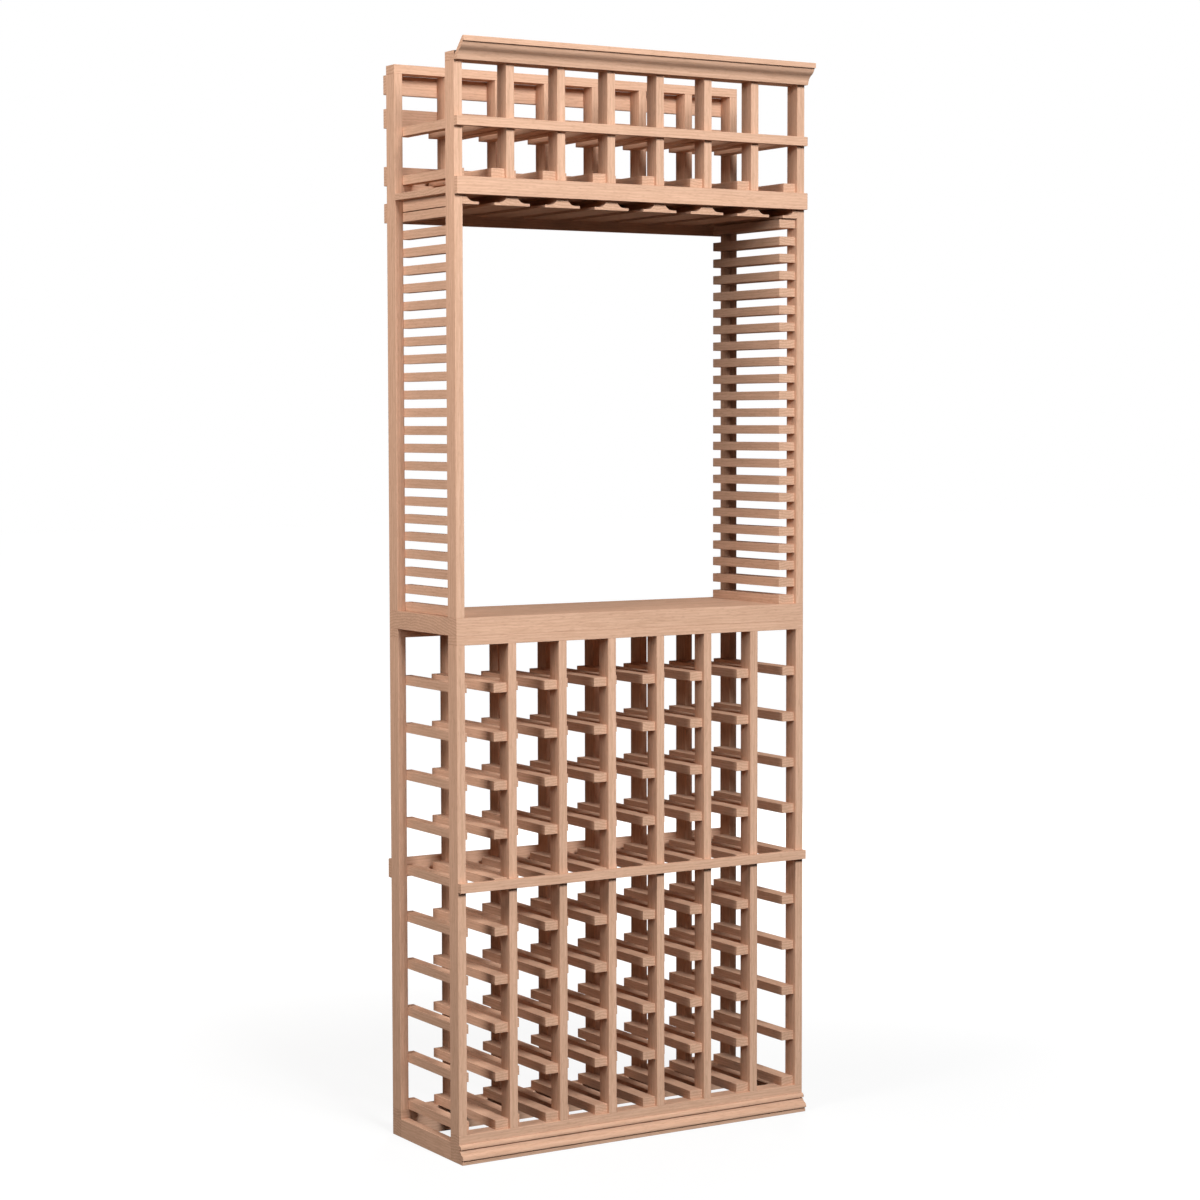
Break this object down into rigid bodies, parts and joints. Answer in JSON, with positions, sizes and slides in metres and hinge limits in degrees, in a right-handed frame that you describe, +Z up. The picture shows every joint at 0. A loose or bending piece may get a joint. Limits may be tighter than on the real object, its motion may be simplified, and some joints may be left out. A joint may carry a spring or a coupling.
{
  "type": "wine tasting station",
  "caption": "Tall free-standing wooden wine station: bottle rack below, open tasting table with lattice sides, hanging glass rails under a shelf, and a small bottle rack with a crown on top",
  "frame": {"origin": "On the floor, under the middle of the station's bounding box", "axes": "Z points up; the front, with the crown and the base moulding, faces -Y; X runs along the width, with the left-hand side, as seen from the front, at -X"},
  "size_m": [0.805, 0.3268, 2.135],
  "materials": {
    "wood_upright": "sanded and unfinished, grain upright",
    "wood_across": "sanded and unfinished, grain left to right",
    "wood_through": "sanded and unfinished, grain front to back",
    "screw_steel": "zinc plated"
  },
  "bodies": {
    "root": {"back_slat_screws": "screw_steel", "base_beam_front": "wood_across", "base_beam_rear": "wood_across", "base_moulding": "wood_across", "base_rail_front": "wood_across", "base_rail_rear": "wood_across", "base_side_left": "wood_through", "base_side_right": "wood_through", "corner_post_front_left": "wood_upright", "corner_post_front_right": "wood_upright", "corner_post_rear_left": "wood_upright", "corner_post_rear_right": "wood_upright", "crown_moulding": "wood_across", "lattice_slats_left": "wood_through", "lattice_slats_right": "wood_through", "lower_back_slat": "wood_across", "lower_front_strip": "wood_across", "lower_ladder_1_posts": "wood_upright", "lower_ladder_1_rails": "wood_through", "lower_ladder_2_posts": "wood_upright", "lower_ladder_2_rails": "wood_through", "lower_ladder_3_posts": "wood_upright", "lower_ladder_3_rails": "wood_through", "lower_ladder_4_posts": "wood_upright", "lower_ladder_4_rails": "wood_through", "lower_ladder_5_posts": "wood_upright", "lower_ladder_5_rails": "wood_through", "lower_ladder_6_posts": "wood_upright", "lower_ladder_6_rails": "wood_through", "lower_ladder_7_posts": "wood_upright", "lower_ladder_7_rails": "wood_through", "lower_ladder_8_posts": "wood_upright", "lower_ladder_8_rails": "wood_through", "lower_top_rail_front": "wood_across", "lower_top_rail_rear": "wood_across", "stem_half_rail_left": "wood_through", "stem_half_rail_right": "wood_through", "stem_rail_1": "wood_through", "stem_rail_2": "wood_through", "stem_rail_3": "wood_through", "stem_rail_4": "wood_through", "stem_rail_5": "wood_through", "stem_rail_6": "wood_through", "stemware_back_slat": "wood_across", "stemware_face_board": "wood_across", "stemware_shelf": "wood_across", "table_top": "wood_across", "upper_back_slats": "wood_across", "upper_base_rails": "wood_across", "upper_front_strip": "wood_across", "upper_ladder_2_posts": "wood_upright", "upper_ladder_3_posts": "wood_upright", "upper_ladder_4_posts": "wood_upright", "upper_ladder_5_posts": "wood_upright", "upper_ladder_6_posts": "wood_upright", "upper_ladder_7_posts": "wood_upright", "upper_rails_row_1": "wood_through", "upper_rails_row_2": "wood_through", "upper_top_rail_front": "wood_across", "upper_top_rail_rear": "wood_across"}
  },
  "joints": []
}
